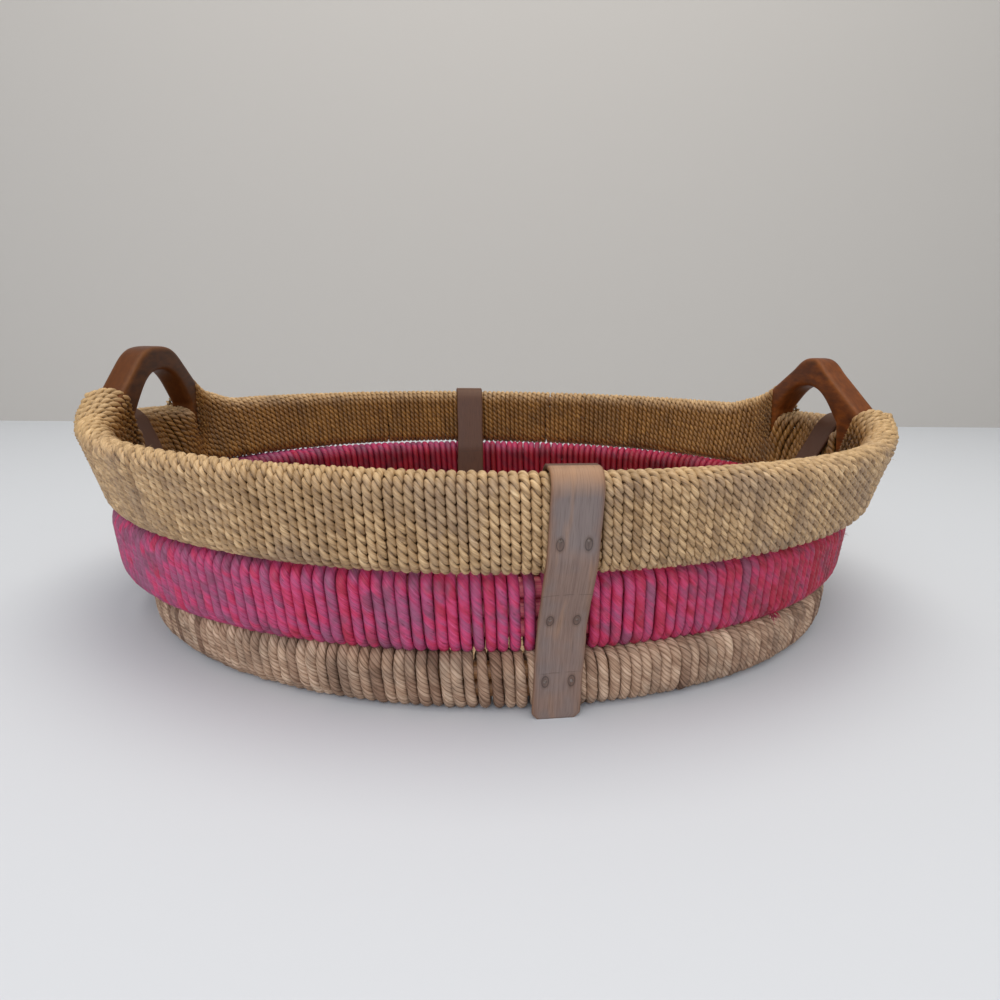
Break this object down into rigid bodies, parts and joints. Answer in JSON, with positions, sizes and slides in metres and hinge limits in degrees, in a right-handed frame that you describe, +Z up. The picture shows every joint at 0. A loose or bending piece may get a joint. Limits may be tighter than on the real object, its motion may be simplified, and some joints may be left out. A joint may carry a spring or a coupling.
{
  "type": "basket tray",
  "caption": "Oval open tray of cord-wound cane hoops stepping outward, with arched wooden end handles, nailed veneer straps and a flat woven base.",
  "frame": {"origin": "on the table under the middle of the tray", "axes": "+X along the tray's length towards one handle, +Y towards the back, +Z up"},
  "size_m": [0.5507, 0.4443, 0.1688],
  "materials": {
    "top_cord": "two-ply twisted seagrass cord, tan, wound tight over the canes",
    "middle_cord": "thick twisted paper-soft cord dyed magenta, dull",
    "bottom_cord": "thick twisted cord, beige-brown with grey stains, dull",
    "cane": "round rattan cane, dull",
    "dyed_cane": "round rattan cane stained pink",
    "strap": "bent veneer strap, grey-brown open grain, matt",
    "handle": "stained brown wood, satin varnish, worn lighter on the edges",
    "nail": "small dark wire nail",
    "mat": "woven seagrass, tan, dull"
  },
  "bodies": {
    "root": {"top_winding": "top_cord", "middle_winding": "middle_cord", "bottom_winding": "bottom_cord", "top_cane_1": "cane", "top_cane_2": "cane", "top_cane_3": "cane", "top_cane_4": "cane", "middle_cane_1": "dyed_cane", "middle_cane_2": "dyed_cane", "middle_cane_3": "dyed_cane", "bottom_cane_1": "cane", "bottom_cane_2": "cane", "left_handle": "handle", "right_handle": "handle", "front_strap": "strap", "front_nail_bottom_1": "nail", "front_nail_bottom_2": "nail", "front_nail_middle_1": "nail", "front_nail_middle_2": "nail", "front_nail_top_1": "nail", "front_nail_top_2": "nail", "back_strap": "strap", "back_nail_bottom_1": "nail", "back_nail_bottom_2": "nail", "back_nail_middle_1": "nail", "back_nail_middle_2": "nail", "back_nail_top_1": "nail", "back_nail_top_2": "nail", "left_strap": "strap", "left_nail_bottom_1": "nail", "left_nail_bottom_2": "nail", "left_nail_middle_1": "nail", "left_nail_middle_2": "nail", "left_nail_top_1": "nail", "left_nail_top_2": "nail", "right_strap": "strap", "right_nail_bottom_1": "nail", "right_nail_bottom_2": "nail", "right_nail_middle_1": "nail", "right_nail_middle_2": "nail", "right_nail_top_1": "nail", "right_nail_top_2": "nail", "base_mat": "mat"}
  },
  "joints": []
}
